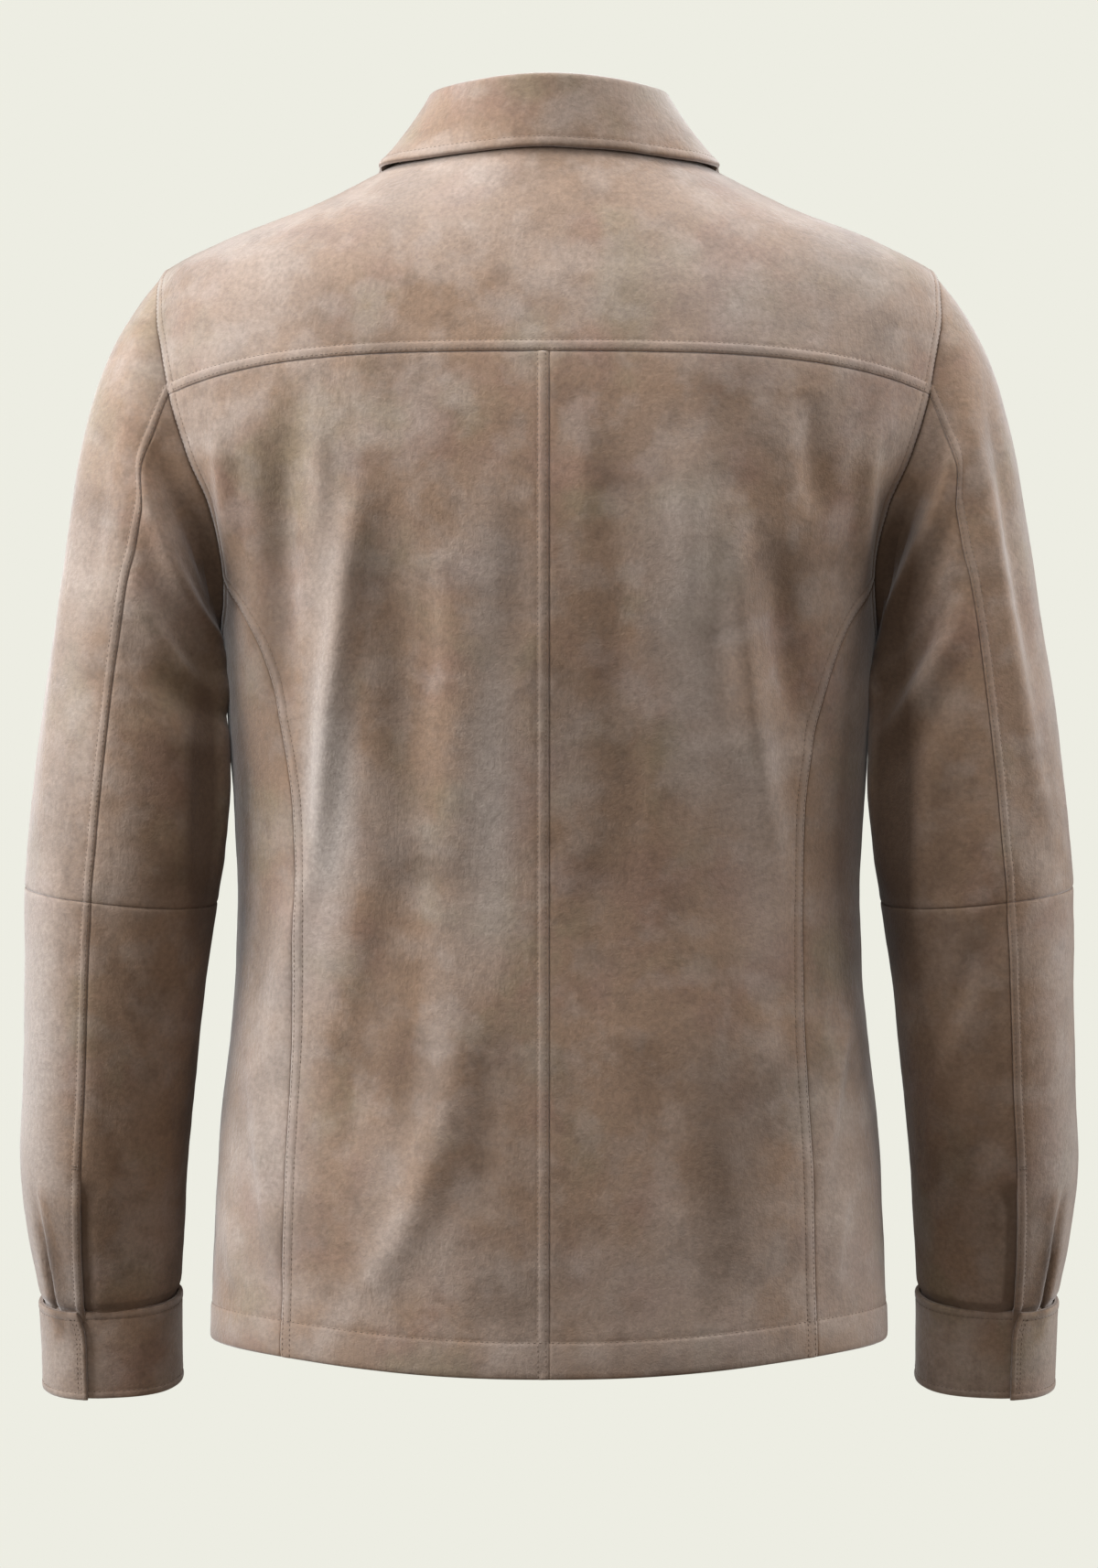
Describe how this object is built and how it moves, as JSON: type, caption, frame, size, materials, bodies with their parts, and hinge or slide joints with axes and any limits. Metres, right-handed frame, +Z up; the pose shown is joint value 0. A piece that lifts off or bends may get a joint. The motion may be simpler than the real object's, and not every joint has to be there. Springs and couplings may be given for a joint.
{
  "type": "suede shirt jacket",
  "caption": "Suede shirt jacket with a yoke, panelled back, turned-down collar, two-piece sleeves and cuffs, filled out as worn.",
  "frame": {"origin": "midway between the two points where the shoulders meet the neck, at their height", "axes": "+Z up, -Y out of the back, +Y out of the front, +X towards the wearer's right"},
  "size_m": [0.6338, 0.2562, 0.7819],
  "materials": {
    "suede": "matt suede nap",
    "button": "satin horn"
  },
  "bodies": {
    "root": {"back_yoke": "suede", "collar_stand": "suede", "collar_leaf": "suede", "back_left": "suede", "back_right": "suede", "side_back_left": "suede", "side_back_right": "suede", "front_left": "suede", "front_right": "suede", "top_sleeve_upper_left": "suede", "top_sleeve_upper_right": "suede", "top_sleeve_lower_left": "suede", "top_sleeve_lower_right": "suede", "under_sleeve_upper_left": "suede", "under_sleeve_upper_right": "suede", "under_sleeve_lower_left": "suede", "under_sleeve_lower_right": "suede", "cuff_left": "suede", "cuff_right": "suede", "button_1": "button", "button_2": "button", "button_3": "button", "button_4": "button", "button_5": "button", "button_6": "button", "button_7": "button"}
  },
  "joints": []
}
